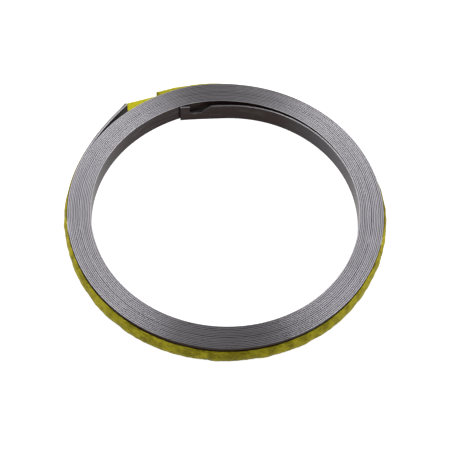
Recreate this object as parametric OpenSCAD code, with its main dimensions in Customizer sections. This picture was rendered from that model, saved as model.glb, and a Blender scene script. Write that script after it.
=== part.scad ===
// Recoil starter spring as supplied: one flat steel strip wound into an open ring and held by a wrap of tape.
// Millimetres. The ring's axis is Z, the strip stands on its edge, and its lower edge lies on z = 0.
// Seen from above, the strip runs clockwise from the notched inner end out to the free outer end.

/* [Coil] */
// radius of the first turn's inner face, where the inner end leaves the ring
coil_inner_r = 41.8; // [36:0.1:55]
// thickness of the strip
strip_t = 0.48; // [0.36:0.02:0.6]
// width of the strip, which is the ring's height
strip_w = 6.8; // [6:0.1:10]
// air between two turns
turn_gap = 0.07; // [0.05:0.01:0.15]
// half turns that are wound in full, an odd number
half_turns = 27; // [15:2:35]
// angle wound after them, before the outer end leaves the ring
last_arc = 40; // [35:1:50]
// direction in which the inner end leaves the ring
seam_dir = 18; // [0:1:359]

/* [Inner end] */
// how far the centre of the inner end's bend sits from the ring's centre
hook_shift = 2; // [1:0.1:3]
// angle of the inner end's bend
hook_arc = 79; // [70:1:90]
// air between the straight tip and the first turn
hook_gap = 0.1; // [0.06:0.01:0.3]
// full width tongue left at the tip
tongue_l = 3; // [2:0.1:4]
// flat floor of the notch
notch_l = 3.6; // [2.5:0.1:4]
// sloping side of the notch
ramp_l = 3.3; // [2:0.1:4]
// depth of the notch from the upper edge
notch_d = 3.4; // [2:0.1:4]

/* [Outer end] */
// radius of the outer end's slack bend, on its outer face
flare_r = 80; // [75:1:90]
// length of the slack bend
flare_l = 24; // [21:0.5:26]

/* [Tape] */
// thickness of the tape
tape_t = 0.25; // [0.15:0.05:0.35]
// air between the crinkled tape and what it wraps
tape_gap = 0.4; // [0.3:0.05:0.5]
// steel left bare above the tape
tape_top = 0.6; // [0.4:0.1:1.5]
// steel left bare below the tape
tape_foot = 0.3; // [0.2:0.1:1]
// length of the covered first end, before the tape leaves the ring for the outer end's tip
first_l = 7.5; // [6:0.5:9]
// length of the loose last end
peel_l = 21; // [18:0.5:23]
// how much wider than the ring the loose end bends
peel_open = 1.33; // [1.25:0.01:1.5]
// air between the loose end and the start of the covered end
lap_gap = 0.15; // [0.1:0.05:0.3]

/* [Output] */
// node to draw

/* [Hidden] */
$fn = 96;
// growth of the radius in half a turn
step = (strip_t + turn_gap) / 2;
last_r = coil_inner_r + half_turns * step;
// inner end: bend, then a straight tip that stops short of the first turn
hook_r = coil_inner_r + strip_t - step - hook_shift;
hook_cx = step + hook_shift;
hook_room = coil_inner_r + step - hook_gap;
hook_lean = hook_shift * sin(hook_arc);
hook_sq = pow(hook_room, 2) - pow(hook_r, 2) - 2 * hook_r * hook_shift * cos(hook_arc) - pow(hook_shift, 2);
hook_l = hook_lean + sqrt(pow(hook_lean, 2) + hook_sq);
// outer end: centre of the slack bend, and the outer corner of its tip
flare_arc = flare_l / flare_r * 180 / PI;
flare_cx = last_r + strip_t - flare_r;
tip_x = flare_cx + flare_r * cos(flare_arc);
tip_y = flare_r * sin(flare_arc);
tip_r = norm([tip_x, tip_y]);
tip_dir = 180 - last_arc - atan2(tip_y, tip_x);
// tape: face radii on the top, left and lower parts of the ring
top_r = last_r - 2 * step + strip_t + tape_gap;
left_r = last_r + strip_t + tape_gap;
low_r = last_r - step + strip_t + tape_gap;
bridge_dir = tip_dir - acos((top_r - tape_gap) / tip_r);
tape_from = bridge_dir - first_l / top_r * 180 / PI;
// the loose end starts far enough back to have risen clear of the covered end
peel_r = low_r * peel_open;
peel_rise = max(lap_gap, tape_t + lap_gap - step * (1 - cos(tape_from)));
peel_run = sqrt(2 * peel_rise / (1 / low_r - 1 / peel_r));
peel_from = tape_from - peel_run / low_r * 180 / PI;
peel_arc = peel_l / peel_r * 180 / PI;
tape_w = strip_w - tape_top - tape_foot;
// plain cutting sizes
span = 3 * flare_r;
over = 1;
// one bend crosses the next by this much where they run into each other
blend = 0.003;

module ring(inner_r, t) {
  difference() {
    circle(r = inner_r + t);
    circle(r = inner_r);
  }
}

module upper_half() {
  translate([-span, 0])
    square([2 * span, span]);
}

module lower_half() {
  translate([-span, -span])
    square([2 * span, span]);
}

// all that lies behind a straight face which leaves a bend of radius face_r along Y
module behind(face_r, l) {
  translate([-span, 0])
    square([span + face_r - blend, l]);
}

// frame of the inner end: its bend ends on the X axis and its tip runs along Y
module hook_frame() {
  translate([hook_cx, 0])
    rotate(hook_arc)
      children();
}

// frame of the outer end: the ring ends on the X axis
module flare_frame() {
  translate([step, 0])
    rotate(180 - last_arc)
      children();
}

// frame of the tape's free stretch: it leaves the ring on the X axis and runs along Y
module bridge_frame() {
  translate([step, 0])
    rotate(bridge_dir)
      children();
}

// frame of the tape's loose end, on the centre of its bend: the ring ends on the X axis
module peel_frame() {
  rotate(peel_from)
    translate([low_r - peel_r - blend, 0])
      children();
}

// half turn number k: even ones lie below the seam line, odd ones above it
module half_turn(k) {
  if (k % 2 == 0) {
    intersection() {
      ring(coil_inner_r + k * step, strip_t);
      lower_half();
    }
  } else {
    translate([step, 0])
      intersection() {
        ring(coil_inner_r + k * step, strip_t);
        upper_half();
      }
  }
}

// the area inside one face of the inner end
module hook_face(face_r, l) {
  translate([hook_cx, 0])
    circle(r = face_r);
  hook_frame()
    behind(face_r, l);
}

module hook_plan() {
  difference() {
    hook_face(hook_r, hook_l);
    hook_face(hook_r - strip_t, span);
    lower_half();
  }
}

// the area inside the slack bend at one face of the outer end, from where it leaves the ring
module flare_face(face_r) {
  flare_frame()
    translate([flare_cx - blend, 0])
      intersection() {
        circle(r = face_r);
        lower_half();
      }
}

module outer_face(face_r, bend_r) {
  translate([step, 0])
    circle(r = face_r);
  flare_face(bend_r);
}

module outer_plan() {
  difference() {
    outer_face(last_r + strip_t, flare_r);
    outer_face(last_r, flare_r - strip_t);
    lower_half();
    flare_frame()
      translate([flare_cx - blend, 0])
        rotate(-flare_arc)
          lower_half();
  }
}

// notch in the upper edge, drawn along the tip; the cut stops in the air before the first turn
module hook_notch() {
  floor_z = strip_w - notch_d;
  tongue_y = hook_l - tongue_l;
  ramp_y = tongue_y - notch_l;
  ramp_over = ramp_l * (1 + over / notch_d);
  hook_frame()
    translate([hook_r - strip_t - over, 0, 0])
      rotate([90, 0, 90])
        linear_extrude(height = over + strip_t + hook_gap / 2)
          polygon([
            [tongue_y, strip_w + over],
            [tongue_y, floor_z],
            [ramp_y, floor_z],
            [ramp_y - ramp_over, strip_w + over]
          ]);
}

module spring_strip() {
  color([0.5, 0.49, 0.5])
    rotate(seam_dir)
      difference() {
        linear_extrude(height = strip_w) {
          for (k = [0 : half_turns - 1]) half_turn(k);
          hook_plan();
          outer_plan();
        }
        hook_notch();
      }
}

// the area inside one face of the tape: left side, fold over the outer end, covered first end
module tape_face(t) {
  intersection() {
    translate([step, 0])
      circle(r = left_r + t);
    flare_frame()
      translate([0, -over])
        upper_half();
  }
  intersection() {
    flare_face(flare_r + tape_gap + t);
    bridge_frame()
      behind(top_r + t, span);
  }
  translate([step, 0])
    circle(r = top_r + t);
}

module tape_upper() {
  difference() {
    tape_face(tape_t);
    tape_face(0);
    lower_half();
    translate([step, 0])
      rotate(tape_from)
        lower_half();
  }
}

// the area inside one face of the lower wrap, which comes loose at its end
module wrap_face(t) {
  circle(r = low_r + t);
  peel_frame()
    intersection() {
      circle(r = peel_r + t);
      square([2 * peel_r, peel_l + over]);
    }
}

module tape_wrap() {
  difference() {
    wrap_face(tape_t);
    wrap_face(0);
    intersection() {
      upper_half();
      peel_frame()
        rotate(peel_arc)
          upper_half();
    }
  }
}

module retaining_tape() {
  color([0.55, 0.52, 0.1])
    rotate(seam_dir)
      translate([0, 0, tape_foot])
        linear_extrude(height = tape_w) {
          tape_wrap();
          tape_upper();
        }
}

spring_strip();
retaining_tape();
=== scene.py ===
import math
import random

import bmesh
import bpy
from mathutils import Matrix, Quaternion, Vector, noise


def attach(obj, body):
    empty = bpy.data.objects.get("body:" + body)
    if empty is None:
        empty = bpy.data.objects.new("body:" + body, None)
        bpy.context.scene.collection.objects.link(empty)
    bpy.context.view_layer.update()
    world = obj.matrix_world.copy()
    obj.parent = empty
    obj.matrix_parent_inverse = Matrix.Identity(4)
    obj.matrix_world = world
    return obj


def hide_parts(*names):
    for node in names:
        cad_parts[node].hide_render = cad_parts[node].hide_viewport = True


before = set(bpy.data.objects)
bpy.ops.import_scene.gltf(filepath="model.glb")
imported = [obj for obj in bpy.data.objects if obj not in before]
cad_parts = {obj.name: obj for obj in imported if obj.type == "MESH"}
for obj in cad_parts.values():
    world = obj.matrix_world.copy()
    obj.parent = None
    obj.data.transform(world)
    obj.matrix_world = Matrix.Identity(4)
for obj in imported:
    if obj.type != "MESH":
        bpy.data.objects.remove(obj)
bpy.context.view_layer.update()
scene = bpy.context.scene
scene.view_settings.view_transform = "Standard"
print("frame loaded:", ", ".join(sorted(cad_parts)))

millimetre = 0.001  # pieces are shaped in millimetres and shrunk at the end
weld = 0.001  # millimetres within which stretches are joined

coil = {
    "innerRadius": 41.8,  # inner face, where the inner end leaves the ring
    "thick": 0.48,
    "width": 6.8,
    "growth": 0.275,  # radius gained in half a turn
    "halfTurns": 27,
    "lastArc": 40,  # wound after the half turns
    "seamAngle": 18,
    "hookShift": 2.0,
    "hookArc": 79,
    "hookLength": 13.401,
    "flareRadius": 80.0,  # outer face of the slack outer end
    "flareLength": 24.0,
}
lastRadius = coil["innerRadius"] + coil["halfTurns"] * coil["growth"]
oddHub = Vector((coil["growth"], 0, 0))  # centre of the half turns above the seam
flareAngle = math.radians(180 - coil["lastArc"])
flareAxis = Vector((math.cos(flareAngle), math.sin(flareAngle), 0))
flareHub = oddHub + flareAxis * (lastRadius + coil["thick"] - coil["flareRadius"])
flareArc = math.degrees(coil["flareLength"] / coil["flareRadius"])


def ramp(value, start, length):
    return min(1, max(0, (value - start) / length))


def loopVerts(loop):
    return [g for g in loop if isinstance(g, bmesh.types.BMVert)]


def loopEdges(loop):
    return [g for g in loop if isinstance(g, bmesh.types.BMEdge)]


def loopMiddle(loop):
    verts = loopVerts(loop)
    return sum((v.co for v in verts), Vector()) / len(verts)


# a mesh of its own for the next stretch, on a copy of the last section
def openStretch(loop=(), along=None):
    bm = bmesh.new()
    layer = bm.verts.layers.float.new("along")
    twin = {}
    for v in loopVerts(loop):
        twin[v] = bm.verts.new(v.co)
        twin[v][layer] = v[along]
    for edge in loopEdges(loop):
        bm.edges.new([twin[v] for v in edge.verts])
    return bm, layer, bm.verts[:] + bm.edges[:]


def bendLoop(stretches, loop, hub, degrees, steps, rise=0.0):  # carries a section round an upright axis
    bm, along, loop = openStretch(loop, stretches[-1].verts.layers.float["along"])
    known = set(bm.verts)
    start = loopVerts(loop)[0][along]
    arm = (loopMiddle(loop) - hub).to_2d()
    firstAngle = math.atan2(arm.y, arm.x)
    sense = math.copysign(1, degrees)
    made = bmesh.ops.spin(
        bm, geom=loop, cent=hub, axis=(0, 0, 1), dvec=(0, 0, rise / steps),
        angle=math.radians(degrees), steps=steps, use_duplicate=False)
    for v in bm.verts:
        if v not in known:
            turned = sense * (math.atan2(v.co.y - hub.y, v.co.x - hub.x) - firstAngle)
            v[along] = start + arm.length * (turned % math.tau)
    stretches.append(bm)
    return made["geom_last"]


def pushLoop(stretches, loop, shift, steps=1):  # carries a section along a straight
    bm, along, loop = openStretch(loop, stretches[-1].verts.layers.float["along"])
    known = set(bm.verts)
    origin = loopMiddle(loop)
    start = loopVerts(loop)[0][along]
    shift = Vector(shift)
    made = bmesh.ops.spin(
        bm, geom=loop, cent=origin, axis=(0, 0, 1), dvec=shift / steps,
        angle=0, steps=steps, use_duplicate=False)
    for v in bm.verts:
        if v not in known:
            v[along] = start + (v.co - origin).dot(shift.normalized())
    stretches.append(bm)
    return made["geom_last"]


def joinStretches(stretches):
    whole = bmesh.new()
    for bm in stretches:
        mesh = bpy.data.meshes.new("stretch")
        bm.to_mesh(mesh)
        bm.free()
        whole.from_mesh(mesh)
        bpy.data.meshes.remove(mesh)
    bmesh.ops.remove_doubles(whole, verts=whole.verts, dist=weld)
    return whole


def finishPiece(bm, name, node, materials):
    toSeam = Matrix.Rotation(math.radians(coil["seamAngle"]), 3, "Z")
    bmesh.ops.rotate(bm, cent=(0, 0, 0), matrix=toSeam, verts=bm.verts)
    bmesh.ops.scale(bm, vec=(millimetre,) * 3, verts=bm.verts)
    mesh = bpy.data.meshes.new(name)
    bm.to_mesh(mesh)
    bm.free()
    for material in materials:
        mesh.materials.append(material)
    piece = bpy.data.objects.new(name, mesh)
    scene.collection.objects.link(piece)
    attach(piece, "root")
    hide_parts(node)
    return piece


def newMaterial(name):
    material = bpy.data.materials.new(name)
    material.use_nodes = True
    tree = material.node_tree
    return material, tree, tree.nodes["Principled BSDF"]


def addNode(tree, kind, **settings):
    node = tree.nodes.new(kind)
    for key, value in settings.items():
        setattr(node, key, value)
    return node


def addNoise(tree, cells, detail=3.0, rough=0.55):  # cells per millimetre, along the piece and up
    node = addNode(tree, "ShaderNodeTexNoise")
    node.inputs["Scale"].default_value = 1.0
    node.inputs["Detail"].default_value = detail
    node.inputs["Roughness"].default_value = rough
    tree.links.new(stripCoords(tree, *cells), node.inputs["Vector"])
    return node.outputs["Fac"]


def addRange(tree, value, fromLow, fromHigh, toLow, toHigh):
    node = addNode(tree, "ShaderNodeMapRange")
    ends = {"From Min": fromLow, "From Max": fromHigh, "To Min": toLow, "To Max": toHigh}
    for key, number in ends.items():
        node.inputs[key].default_value = number
    tree.links.new(value, node.inputs["Value"])
    return node.outputs["Result"]


def addRough(tree, shader, pattern, look):  # a pattern mostly stays between 0.3 and 0.7
    rough = addRange(tree, pattern, 0.3, 0.7, look["roughLow"], look["roughHigh"])
    tree.links.new(rough, shader.inputs["Roughness"])


def addMix(tree, factor, first, second):
    node = addNode(tree, "ShaderNodeMix", data_type="RGBA")
    for socket, value in ((node.inputs[0], factor), (node.inputs[6], first), (node.inputs[7], second)):
        if isinstance(value, bpy.types.NodeSocket):
            tree.links.new(value, socket)
        else:
            socket.default_value = value if isinstance(value, float) else (*value, 1)
    return node.outputs[2]


def addBump(tree, shader, height, strength, distance):
    node = addNode(tree, "ShaderNodeBump")
    node.inputs["Strength"].default_value = strength
    node.inputs["Distance"].default_value = distance
    tree.links.new(height, node.inputs["Height"])
    tree.links.new(node.outputs["Normal"], shader.inputs["Normal"])


def readAttribute(tree, name):
    return addNode(tree, "ShaderNodeAttribute", attribute_name=name).outputs["Fac"]


def objectAxes(tree):
    place = addNode(tree, "ShaderNodeTexCoord")
    parts = addNode(tree, "ShaderNodeSeparateXYZ")
    tree.links.new(place.outputs["Object"], parts.inputs[0])
    return parts.outputs


def stripCoords(tree, lengthScale, heightScale):  # length along the piece and height, in millimetres
    lengthwise = (readAttribute(tree, "along"), lengthScale, 0)
    upwards = (objectAxes(tree)["Z"], heightScale / millimetre, 1)
    join = addNode(tree, "ShaderNodeCombineXYZ")
    for source, scale, target in (lengthwise, upwards):
        times = addNode(tree, "ShaderNodeMath", operation="MULTIPLY")
        times.inputs[1].default_value = scale
        tree.links.new(source, times.inputs[0])
        tree.links.new(times.outputs[0], join.inputs[target])
    return join.outputs[0]


# tempered faces of the strip: near black brown oxide that brightens at a low angle
temperedFace = {
    "dark": (0.024, 0.007, 0.005),
    "light": (0.041, 0.019, 0.016),
    "scuff": (0.064, 0.049, 0.046),
    "paintedSheen": (0.135, 0.13, 0.15),
    # painted sheen: lighter grey at the right and, thinner, at the left: from, to, its share at each, and
    # its tone
    "across": (
        (0.017, 0.03, 0.0, 0.55, "paintedSheen"),
        (0.036, 0.041, 0.0, 0.7, "light"),
        (-0.04, -0.024, 0.07, 0.0, "paintedSheen"),
    ),
    "streaks": (0.03, 0.9),
    "clouds": (0.08, 0.1),
    "grain": (0.6, 9.0),
    "scuffs": (0.09, 0.35),
    "sheen": 0.1,
    "roughLow": 0.26,
    "roughHigh": 0.34,
}


def makeTemperedFace():
    look = temperedFace
    material, tree, shader = newMaterial("temperedFace")
    streaks = addNoise(tree, look["streaks"], 4.0)
    clouds = addNoise(tree, look["clouds"], 2.0)
    grain = addNoise(tree, look["grain"])
    tone = addMix(tree, 0.5, streaks, clouds)
    colour = addMix(tree, addRange(tree, tone, 0.35, 0.65, 0.0, 1.0), look["dark"], look["light"])
    scuffs = addNoise(tree, look["scuffs"])
    colour = addMix(tree, addRange(tree, scuffs, 0.5, 0.68, 0.0, 1.0), colour, look["scuff"])
    # painted sheen: the faces turn lighter grey towards the right and, a little, at the left
    sideways = objectAxes(tree)["X"]
    for start, stop, low, high, tone in look["across"]:
        colour = addMix(tree, addRange(tree, sideways, start, stop, low, high), colour, look[tone])
    tree.links.new(colour, shader.inputs["Base Color"])
    addRough(tree, shader, streaks, look)
    shader.inputs["Specular IOR Level"].default_value = look["sheen"]
    addBump(tree, shader, grain, 0.1, 0.00002)
    return material


# slit edges of the strip: brighter, with fine marks across
slitEdge = {
    "dark": (0.44, 0.424, 0.462),
    "light": (0.72, 0.695, 0.745),
    # back and front are brighter than the sides: from, to, and the change at each
    "backFrontTone": ((0.0, 0.035, -0.12, 0.1), (-0.045, -0.03, 0.12, 0.0)),
    "turns": (0.012, 0.0),
    "marks": (0.4, 0.2),
    "roughLow": 0.36,
    "roughHigh": 0.44,
    "drawn": 1.0,  # grooves along the strip spread a highlight across it
    "drawnTurn": 0.25,
}


def makeSlitEdge():
    look = slitEdge
    material, tree, shader = newMaterial("slitEdge")
    turns = addNoise(tree, look["turns"], 2.0)
    marks = addNoise(tree, look["marks"], 3.0, 0.6)
    tone = addMix(tree, 0.35, turns, marks)
    backwards = objectAxes(tree)["Y"]
    # the tone is raised at the back and front and lowered at the sides, by how far back each point lies
    for start, stop, low, high in look["backFrontTone"]:
        more = addNode(tree, "ShaderNodeMath", operation="ADD")
        tree.links.new(tone, more.inputs[0])
        tree.links.new(addRange(tree, backwards, start, stop, low, high), more.inputs[1])
        tone = more.outputs[0]
    colour = addMix(tree, addRange(tree, tone, 0.3, 0.7, 0.0, 1.0), look["dark"], look["light"])
    tree.links.new(colour, shader.inputs["Base Color"])
    addRough(tree, shader, marks, look)
    shader.inputs["Metallic"].default_value = 1.0
    shader.inputs["Anisotropic"].default_value = look["drawn"]
    shader.inputs["Anisotropic Rotation"].default_value = look["drawnTurn"]
    return material


# innermost turn's inner edge: rubbing, with a near white painted highlight along it
wornRimHighlight = {
    "dark": (0.5, 0.49, 0.51),
    "light": (0.95, 0.94, 0.96),
    "setsIn": (42, 62),  # length along the strip over which the rubbing and its painted highlight set in
    "rubs": (0.15, 0.5),
    "metal": 0.4,
    "roughLow": 0.4,
    "roughHigh": 0.55,
}


def makeWornRimHighlight():
    look = wornRimHighlight
    material, tree, shader = newMaterial("wornRimHighlight")
    rubs = addNoise(tree, look["rubs"], 3.0, 0.6)
    # painted highlight: the inner edge runs from grey to near white
    colour = addMix(tree, addRange(tree, rubs, 0.32, 0.6, 0.0, 1.0), look["dark"], look["light"])
    rubbedHighlight = addRange(tree, readAttribute(tree, "along"), *look["setsIn"], 0.0, 1.0)
    colour = addMix(tree, rubbedHighlight, temperedFace["light"], colour)
    tree.links.new(colour, shader.inputs["Base Color"])
    addRough(tree, shader, rubs, look)
    shader.inputs["Metallic"].default_value = look["metal"]
    return material


springStrip = {
    "edgeRadius": 0.15,  # worn round of the slit edges
    "topSegments": 6,
    "lowSegments": 3,
    "brightTilt": 0.62,  # faces that look up more than this are bright slit metal
    "rimTilt": (0.3, 0.85),  # faces of the innermost turn's inner edge that take the rubbing colour and painted highlight, by how far they look up
    "rimStretch": (42, 330),  # from the inner end's bend to the end of the first turn
    "wallTilt": 0.02,  # faces that look up less than this are flat walls
    "crease": 32,  # degrees past which an edge stays sharp
    "hookSteps": 32,
    "stepsPerQuarter": 36,
    "lastSteps": 20,
    "flareSteps": 12,
    "early": 0.75,  # share of a half turn's growth that comes midway on the inner turns
    "tongue": 3.0,
    "notchFloor": 3.6,
    "notchRamp": 3.3,
    "notchDepth": 3.4,
    "notchAbove": 0.3,  # share of the width above which the section moves for the notch
    "wallSlope": 0.08,
    "slack": {  # looser half turns
        3: 0.012, 5: 0.018, 8: 0.014, 12: 0.03,
        13: 0.046, 14: 0.024, 19: 0.016, 22: 0.014,
    },
    "lift": 0.06,  # how far turns stand above each other
    "press": 0.3,  # how far the inner tip presses the turns outwards
    "pressAngle": 90,  # from the seam
    "pressSpread": 12,
    "lean": 0.13,  # how far the upper edge of the inner end's bend leans inwards
    "leanFrom": (32.0, 12.0),  # where along the strip it sets in, and over what length
    "leanUntil": (57.0, 10.0),  # where it goes again, and over what length
    "seed": 11,
}


def growthOf(k):  # radius gained in half turn k; the slack is taken from the others on the same side
    slack = springStrip["slack"]
    side = range(k % 2, coil["halfTurns"], 2)
    return coil["growth"] + slack.get(k, 0) - sum(slack.get(j, 0) for j in side) / len(side)


def dropTop(bm, loop, depth):
    upper = [v for v in loopVerts(loop) if v.co.z > springStrip["notchAbove"] * coil["width"]]
    bmesh.ops.translate(bm, vec=(0, 0, -depth), verts=upper)


def makeSpringStrip():
    spec = springStrip
    draw = random.Random(spec["seed"])
    thick, width = coil["thick"], coil["width"]
    hookRadius = coil["innerRadius"] + thick - coil["growth"] - coil["hookShift"]
    bm = openStretch()[0]
    bmesh.ops.create_grid(bm, x_segments=1, y_segments=1, size=0.5)  # the section at the inner tip
    bmesh.ops.scale(bm, vec=(thick, width, 1), verts=bm.verts)
    upright = Matrix.Rotation(math.radians(90), 3, "X")
    bmesh.ops.rotate(bm, cent=(0, 0, 0), matrix=upright, verts=bm.verts)
    bmesh.ops.translate(bm, vec=(hookRadius - thick / 2, coil["hookLength"], width / 2), verts=bm.verts)
    upper = [v for v in bm.verts if v.co.z > width / 2]
    lower = [v for v in bm.verts if v.co.z < width / 2]
    for corners, segments in ((upper, spec["topSegments"]), (lower, spec["lowSegments"])):
        bmesh.ops.bevel(
            bm, geom=corners, offset=spec["edgeRadius"], affect="VERTICES",
            segments=segments, profile=0.5, material=-1)
    stretches, loop = [bm], bm.verts[:] + bm.edges[:]
    # straight tip with its notch, then the bend into the ring
    notchEnd = spec["tongue"] + spec["wallSlope"] + spec["notchFloor"] + spec["notchRamp"]
    loop = pushLoop(stretches, loop, (0, -spec["tongue"], 0), 3)
    loop = pushLoop(stretches, loop, (0, -spec["wallSlope"], 0))
    dropTop(stretches[-1], loop, spec["notchDepth"])
    loop = pushLoop(stretches, loop, (0, -spec["notchFloor"], 0))
    loop = pushLoop(stretches, loop, (0, -spec["notchRamp"], 0))
    dropTop(stretches[-1], loop, -spec["notchDepth"])
    loop = pushLoop(stretches, loop, (0, notchEnd - coil["hookLength"], 0), 3)
    hub = oddHub + Vector((coil["hookShift"], 0, 0))
    toRing = Matrix.Translation(hub) @ Matrix.Rotation(math.radians(coil["hookArc"]), 4, "Z")
    for bm in stretches:
        bmesh.ops.transform(bm, matrix=toRing, verts=bm.verts)
    loop = bendLoop(stretches, loop, hub, -coil["hookArc"], spec["hookSteps"])
    # half turns on shifting centres, so that the path stays smooth
    hub, lift = Vector(), 0.0

    def moveHub(gain):
        return hub - (loopMiddle(loop) - hub).to_2d().to_3d().normalized() * gain

    for k in range(coil["halfTurns"]):
        early = growthOf(k) * spec["early"] * (1 - k // 2 / (coil["halfTurns"] // 2))
        nextLift = draw.uniform(0, spec["lift"])
        for gain in (early, growthOf(k) - early):
            loop = bendLoop(stretches, loop, hub, -90, spec["stepsPerQuarter"], (nextLift - lift) / 2)
            hub = moveHub(gain)
        lift = nextLift
    loop = bendLoop(stretches, loop, hub, -coil["lastArc"], spec["lastSteps"], -lift)
    loop = bendLoop(stretches, loop, flareHub, -flareArc, spec["flareSteps"])
    bmesh.ops.edgeloop_fill(stretches[-1], edges=loopEdges(loop))
    bm = joinStretches(stretches)
    along = bm.verts.layers.float["along"]
    for v in bm.verts:
        away = v.co.to_2d()
        aside = math.degrees(math.atan2(away.y, away.x)) - spec["pressAngle"]
        push = spec["press"] * math.exp(-(aside / spec["pressSpread"]) ** 2)
        leaning = ramp(v[along], *spec["leanFrom"]) * (1 - ramp(v[along], *spec["leanUntil"]))
        push -= spec["lean"] * leaning * v.co.z / width
        v.co += (away.normalized() * push).to_3d()
    bmesh.ops.recalc_face_normals(bm, faces=bm.faces)
    for face in bm.faces:
        face.smooth = True
        face.material_index = 1 if abs(face.normal.z) > spec["brightTilt"] else 0
        corner = face.verts[0]
        inwards = face.normal.dot(corner.co.to_2d().to_3d()) < 0
        tilted = spec["rimTilt"][0] < face.normal.z < spec["rimTilt"][1]
        # painted highlight: these inner edge faces are coloured near white
        if inwards and tilted and spec["rimStretch"][0] < corner[along] < spec["rimStretch"][1]:
            face.material_index = 2
    for edge in bm.edges:  # the flat walls stay flat up to the rounded edges
        walls = [abs(face.normal.z) < spec["wallTilt"] for face in edge.link_faces]
        edge.smooth = len(set(walls)) == 1 and edge.calc_face_angle(0) < math.radians(spec["crease"])
    print("spring strip:", len(bm.faces), "faces, hub ends at", tuple(round(c, 4) for c in hub))
    return finishPiece(bm, "springStrip", "spring_strip", (
        makeTemperedFace(), makeSlitEdge(), makeWornRimHighlight()))


# crepe tape: olive where it clings to dark steel, as painted shade, and bright where it stands free, as
# painted light shining through
crepeTape = {
    # painted shade: the yellow tape darkened by the dark steel behind it and by shade on the front
    "clingShade": (0.3, 0.255, 0.008),
    # lighter where crinkles lift it off the steel, and lighter at the sides as painted light
    "liftedLit": (0.7, 0.615, 0.034),
    "stain": (0.2, 0.13, 0.008),
    # painted light: a raised yellow for light shining through the free stretches
    "free": (1.0, 0.97, 0.17),
    "tapeRimHighlight": (0.62, 0.61, 0.6),  # light grey painted highlight along the upper edge over the slack end
    "blotches": (0.42, 1.9),
    "wrinkles": (0.8, 2.2),
    "through": 0.6,  # light that shines through a free stretch
    "sheen": 0.1,
    "roughLow": 0.5,
    "roughHigh": 0.7,
}


def makeCrepeTape(name, through):
    look = crepeTape
    material, tree, shader = newMaterial(name)
    blotches = addNoise(tree, look["blotches"], 3.0, 0.6)
    wrinkles = addNoise(tree, look["wrinkles"], 3.0, 0.6)
    liftedLit = addRange(tree, readAttribute(tree, "liftedLit"), -0.4, 0.5, 0.3, 0.7)
    tone = addMix(tree, 0.5, liftedLit, wrinkles)
    clungShade = addMix(tree, addRange(tree, tone, 0.4, 0.62, 0.0, 1.0), look["clingShade"], look["liftedLit"])
    clungShade = addMix(tree, addRange(tree, blotches, 0.52, 0.7, 0.0, 0.75), clungShade, look["stain"])
    free = readAttribute(tree, "free")
    # painted light: free stretches take the bright yellow, the rest the shaded olive
    colour = addMix(tree, free, clungShade, look["free"])
    # painted highlight: light grey along the upper edge over the slack end
    colour = addMix(tree, readAttribute(tree, "rimHighlightShare"), colour, look["tapeRimHighlight"])
    tree.links.new(colour, shader.inputs["Base Color"])
    addRough(tree, shader, blotches, look)
    shader.inputs["Specular IOR Level"].default_value = look["sheen"]
    addBump(tree, shader, wrinkles, 0.5, 0.0001)
    if not through:
        return material
    glow = addNode(tree, "ShaderNodeBsdfTranslucent")
    tree.links.new(colour, glow.inputs["Color"])
    both = addNode(tree, "ShaderNodeMixShader")
    tree.links.new(addRange(tree, free, 0.1, 0.7, 0.0, through), both.inputs[0])
    tree.links.new(shader.outputs[0], both.inputs[1])
    tree.links.new(glow.outputs[0], both.inputs[2])
    tree.links.new(both.outputs[0], tree.nodes["Material Output"].inputs["Surface"])
    return material


retainingTape = {
    "thick": 0.25,
    "gap": 0.4,
    "low": 0.3,
    "high": 6.2,
    "rows": 12,
    "stepLength": 0.4,
    "firstLength": 7.5,  # covered first end
    "peelLength": 20.4,  # loose last end
    "peelOpen": 1.33,
    "lapGap": 0.15,
    "crinkle": 0.26,
    "flutter": 0.22,  # crinkles of the loose end
    "inLimit": -0.33,  # how far it may come in towards the steel
    "bridgeHigh": 5.4,  # upper edge of the free stretch, at the covered end
    "bridgeClimb": 0.9,
    "hug": 0.3,  # how far the upper edge draws in towards the steel
    "topWave": 0.16,
    "topLimit": 6.76,
    "lowWave": 0.3,
    "lowDrop": 0.15,  # how far the bulge draws the lower edge down
    "lowLimit": -0.26,
    # height of the upper edge and share of the bulge below it, by direction in degrees round the wrap
    "topLine": (
        (148, 6.8), (157, 6.5), (162, 6.45), (182, 6.6), (200, 6.5), (215, 5.85), (245, 5.4),
        (268, 5.15), (292, 5.25), (315, 5.8), (335, 6.55), (360, 6.6), (371, 6.4), (376, 5.2),
        (400, 5.3), (420, 5.7), (443, 5.9), (452, 6.25), (475, 6.25),
    ),
    "bulgeLine": ((150, 0.0), (168, 0.3), (180, 1.0), (364, 1.0), (370, 0.2), (455, 0.1)),
    "bulge": 0.45,
    "skirtLine": (  # how far the lower part stands off
        (195, 0.0), (210, 0.25), (235, 0.38), (247, 0.3), (256, 0.05),
        (266, 0.12), (276, 0.0), (293, 0.1), (314, 0.2), (325, 0.0),
    ),
    "seed": 4.7,
}


def lineAt(points, place):
    if place <= points[0][0]:
        return points[0][1]
    for (a, low), (b, high) in zip(points, points[1:]):
        if place <= b:
            return low + (high - low) * (place - a) / (b - a)
    return points[-1][1]


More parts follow.
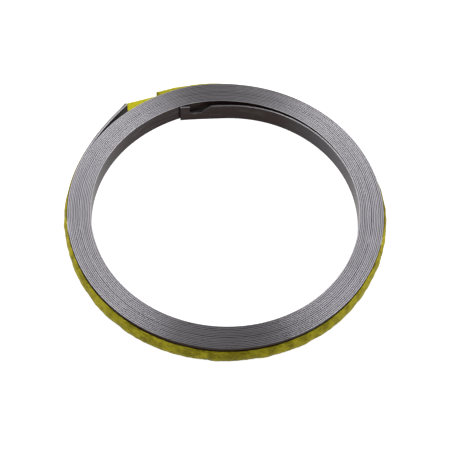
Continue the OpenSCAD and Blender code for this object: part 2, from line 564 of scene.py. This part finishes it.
def makeRetainingTape():
    spec = retainingTape
    half = spec["thick"] / 2
    skin = coil["thick"] + spec["gap"] + half
    topRadius = lastRadius - 2 * coil["growth"] + skin
    leftRadius = lastRadius + skin
    lowRadius = leftRadius - coil["growth"]
    tip = flareHub + Matrix.Rotation(-math.radians(flareArc), 3, "Z") @ flareAxis * coil["flareRadius"]
    fold = flareHub + (tip - flareHub) * ((coil["flareRadius"] + spec["gap"] + half) / coil["flareRadius"])
    reach = (fold - oddHub).to_2d()
    bridgeAngle = math.degrees(math.atan2(reach.y, reach.x) - math.acos(topRadius / reach.length))
    firstAngle = bridgeAngle - math.degrees(spec["firstLength"] / topRadius)
    peelRadius = lowRadius * spec["peelOpen"]
    peelRise = spec["thick"] + spec["lapGap"] - coil["growth"] * (1 - math.cos(math.radians(firstAngle)))
    # the loose end clears the first end
    peelRun = math.sqrt(2 * peelRise / (1 / lowRadius - 1 / peelRadius))
    peelAngle = firstAngle - math.degrees(peelRun / lowRadius)

    def stepsFor(length):
        return max(2, round(length / spec["stepLength"]))

    bm = openStretch()[0]
    ends = [bm.verts.new((topRadius, 0, z)) for z in (spec["low"], spec["high"])]
    edge = bm.edges.new(ends)
    bmesh.ops.subdivide_edges(bm, edges=[edge], cuts=spec["rows"] - 1)
    spinIn = Matrix.Translation(oddHub) @ Matrix.Rotation(math.radians(firstAngle), 4, "Z")
    bmesh.ops.transform(bm, matrix=spinIn, verts=bm.verts)
    stretches, loop = [bm], bm.verts[:] + bm.edges[:]
    marks = {}

    def note(name):
        marks[name] = loopVerts(loop)[0][stretches[-1].verts.layers.float["along"]]

    arc = bridgeAngle - firstAngle
    loop = bendLoop(stretches, loop, oddHub, arc, stepsFor(spec["firstLength"]))
    note("bridge")
    gap = (fold - loopMiddle(loop)).to_2d().to_3d()
    loop = pushLoop(stretches, loop, gap, stepsFor(gap.length))
    note("fold")
    loop = bendLoop(stretches, loop, flareHub, flareArc, stepsFor(coil["flareLength"]))
    note("ring")
    arc = coil["lastArc"]
    loop = bendLoop(stretches, loop, oddHub, arc, stepsFor(math.radians(arc) * leftRadius))
    arc = 180 + peelAngle
    loop = bendLoop(stretches, loop, Vector(), arc, stepsFor(math.radians(arc) * lowRadius))
    note("peel")
    peelHub = loopMiddle(loop).to_2d().to_3d() * (1 - spec["peelOpen"])
    arc = math.degrees(spec["peelLength"] / peelRadius)
    loop = bendLoop(stretches, loop, peelHub, arc, stepsFor(spec["peelLength"]))
    note("end")
    bm = joinStretches(stretches)
    along = bm.verts.layers.float["along"]
    free = bm.verts.layers.float.new("free")
    liftedLit = bm.verts.layers.float.new("liftedLit")
    rimHighlightShare = bm.verts.layers.float.new("rimHighlightShare")

    for v in bm.verts:
        s, h = v[along], ramp(v.co.z, spec["low"], spec["high"] - spec["low"])
        turned = 180 - coil["lastArc"] + coil["seamAngle"]
        turned += math.degrees((s - marks["ring"]) / leftRadius)
        peeled = ramp(s, marks["peel"] - 2, 6)
        held = ramp(s, marks["fold"], 3) * (1 - peeled)
        loose = 0.75 * peeled * (1 - 0.8 * ramp(s, marks["end"] - 1, 0.6))
        bared = ramp(s, marks["bridge"], 2) * (1 - ramp(s, marks["fold"] - 1, 1.5))
        # the free share picks the bright yellow painted for light shining through
        v[free] = max(loose, bared)
        puff = 0.9 * noise.noise((s / 2.6, h * 1.4, spec["seed"]))  # broad crinkles
        puff += 0.35 * noise.noise((s / 0.9, h * 3, 9.1))  # fine ones
        facing = math.radians(turned)
        # painted light: the sides and the diagonals of the wrap are made lighter by their direction round
        # the ring
        v[liftedLit] = puff + 0.2 * math.cos(facing) ** 2 + 0.25 * math.sin(2 * facing) ** 2
        if h > 0.99:  # painted highlight on the upper edge over the slack end
            v[rimHighlightShare] = ramp(s, marks["fold"] - 0.4, 0.4) * (1 - ramp(s, marks["ring"], 8))
        bulge = lineAt(spec["bulgeLine"], turned)
        out = spec["bulge"] * bulge * 4 * h * (1 - h)
        out += spec["crinkle"] * puff * (0.3 + 0.7 * bulge) * (1 - h ** 6)
        out += lineAt(spec["skirtLine"], turned) * (1 - h)
        out -= spec["hug"] * (h ** 5 + 0.4 * (1 - h) ** 3 + 0.8 * (1 - bulge) * (1 - h ** 5))
        away = (v.co - oddHub).to_2d().to_3d().normalized()
        flutter = spec["flutter"] * puff * ramp(s, marks["peel"] + 4, 6)
        v.co += away * (max(spec["inLimit"], out) * held + flutter)
        wave = noise.noise((s / 5, 2.3, spec["seed"])) + 0.4 * noise.noise((s / 1.4, 7.3, spec["seed"]))
        low = noise.noise((s / 6, 5.9, spec["seed"])) + 0.5 * noise.noise((s / 1.1, 1.7, spec["seed"]))
        top = lineAt(spec["topLine"], turned) + wave * spec["topWave"]
        if s < marks["fold"]:  # the free stretch slopes down to the covered end
            climb = ramp(s, marks["bridge"], marks["fold"] - marks["bridge"])
            top = spec["bridgeHigh"] + spec["bridgeClimb"] * climb
        low = max(spec["lowLimit"], low * spec["lowWave"] - spec["lowDrop"] * bulge)
        v.co.z += h * (min(top, spec["topLimit"]) - spec["high"]) + (1 - h) ** 2 * low
    bmesh.ops.recalc_face_normals(bm, faces=bm.faces)
    for face in bm.faces:
        face.smooth = True
        face.material_index = 1 if min(v[free] for v in face.verts) > 0.1 else 0
    print("retaining tape:", len(bm.faces), "faces,", {k: round(m, 2) for k, m in marks.items()})
    piece = finishPiece(bm, "retainingTape", "retaining_tape", (
        makeCrepeTape("clungTape", 0.0), makeCrepeTape("freeTape", crepeTape["through"])))
    wall = piece.modifiers.new("wall", "SOLIDIFY")
    wall.thickness = spec["thick"] * millimetre
    wall.offset = 0.0
    return piece


makeSpringStrip()
makeRetainingTape()

studio = {
    "boxHeight": 0.5,
    "slot": 0.089,  # half width of the dark gap between the two boxes
    "boxWide": 0.5,
    "boxLong": 1.5,
    "boxBack": 0.5,
    "turn": 3.5,  # degrees that the pair is turned
    "closing": 9.0,  # degrees that each box leans in towards the back
    "radiance": 1.6,
    "world": 0.168,
    "floorSize": 12.0,
    "floorDrop": 0.00005,  # keeps the strip's lower edge clear of the floor
    "floorTone": 0.82,
    "floorGlow": 0.86,
    "floorMirrored": 0.95,  # share of the glow that reflections see
}


def makeFloor():
    bm = bmesh.new()
    bmesh.ops.create_grid(bm, x_segments=1, y_segments=1, size=studio["floorSize"])
    bmesh.ops.translate(bm, vec=(0, 0, -studio["floorDrop"]), verts=bm.verts)
    mesh = bpy.data.meshes.new("floor")
    bm.to_mesh(mesh)
    bm.free()
    floor = bpy.data.objects.new("floor", mesh)
    scene.collection.objects.link(floor)
    material, tree, shader = newMaterial("paleFloor")
    shader.inputs["Base Color"].default_value = (studio["floorTone"],) * 3 + (1,)
    shader.inputs["Roughness"].default_value = 1.0
    shader.inputs["Specular IOR Level"].default_value = 0.0
    glow = addNode(tree, "ShaderNodeEmission")
    glow.inputs["Strength"].default_value = studio["floorGlow"]
    path = addNode(tree, "ShaderNodeLightPath")
    seen = path.outputs["Is Camera Ray"]
    for name in ("Is Glossy Ray", "Is Transmission Ray"):
        more = addNode(tree, "ShaderNodeMath", operation="MULTIPLY_ADD")
        more.inputs[1].default_value = studio["floorMirrored"]
        tree.links.new(path.outputs[name], more.inputs[0])
        tree.links.new(seen, more.inputs[2])
        seen = more.outputs[0]
    lit = addNode(tree, "ShaderNodeAddShader")
    tree.links.new(shader.outputs[0], lit.inputs[0])
    tree.links.new(glow.outputs[0], lit.inputs[1])
    both = addNode(tree, "ShaderNodeMixShader")
    tree.links.new(seen, both.inputs[0])
    tree.links.new(shader.outputs[0], both.inputs[1])
    tree.links.new(lit.outputs[0], both.inputs[2])
    tree.links.new(both.outputs[0], tree.nodes["Material Output"].inputs["Surface"])
    mesh.materials.append(material)


def makeLights():
    for side in (-1, 1):
        light = bpy.data.lights.new("softBox", "AREA")
        light.shape = "RECTANGLE"
        light.size, light.size_y = studio["boxWide"], studio["boxLong"]
        light.energy = studio["radiance"] * math.pi * studio["boxWide"] * studio["boxLong"]
        box = bpy.data.objects.new("softBox", light)
        aside = studio["slot"] + studio["boxWide"] / 2
        box.location = (side * aside, studio["boxBack"], studio["boxHeight"])
        box.location.rotate(Matrix.Rotation(math.radians(studio["turn"]), 3, "Z"))
        box.rotation_euler.z = math.radians(studio["turn"] + side * studio["closing"])
        scene.collection.objects.link(box)
    world = bpy.data.worlds.new("studioWorld")
    world.use_nodes = True
    world.node_tree.nodes["Background"].inputs[0].default_value = (studio["world"],) * 3 + (1,)
    scene.world = world


view = {
    "elevation": 56.7,
    "distance": 0.55,
    "focalPixels": 1761,
    "imageWidth": 452,
    "sensorWidth": 36,
    "clipStart": 0.01,
    "roll": 2.43,
    "centreUp": 16.45,  # pixels from the image's middle up to the ring's centre
    "centreLeft": 0.25,
}


def makeCamera():
    data = bpy.data.cameras.new("camera")
    data.sensor_width = view["sensorWidth"]
    data.lens = view["focalPixels"] / view["imageWidth"] * data.sensor_width
    data.clip_start = view["clipStart"]
    camera = bpy.data.objects.new("camera", data)
    scene.collection.objects.link(camera)
    tall = math.radians(view["elevation"])
    middle = Vector((0, 0, coil["width"] * millimetre))
    camera.location = middle + view["distance"] * Vector((0, -math.cos(tall), math.sin(tall)))
    turn = (middle - camera.location).to_track_quat("-Z", "Y")
    turn = turn @ Quaternion((0, 0, 1), math.radians(view["roll"]))
    turn = turn @ Quaternion((1, 0, 0), -math.atan(view["centreUp"] / view["focalPixels"]))
    turn = turn @ Quaternion((0, 1, 0), -math.atan(view["centreLeft"] / view["focalPixels"]))
    camera.rotation_euler = turn.to_euler()
    scene.camera = camera


makeFloor()
makeLights()
makeCamera()
print("studio ready")
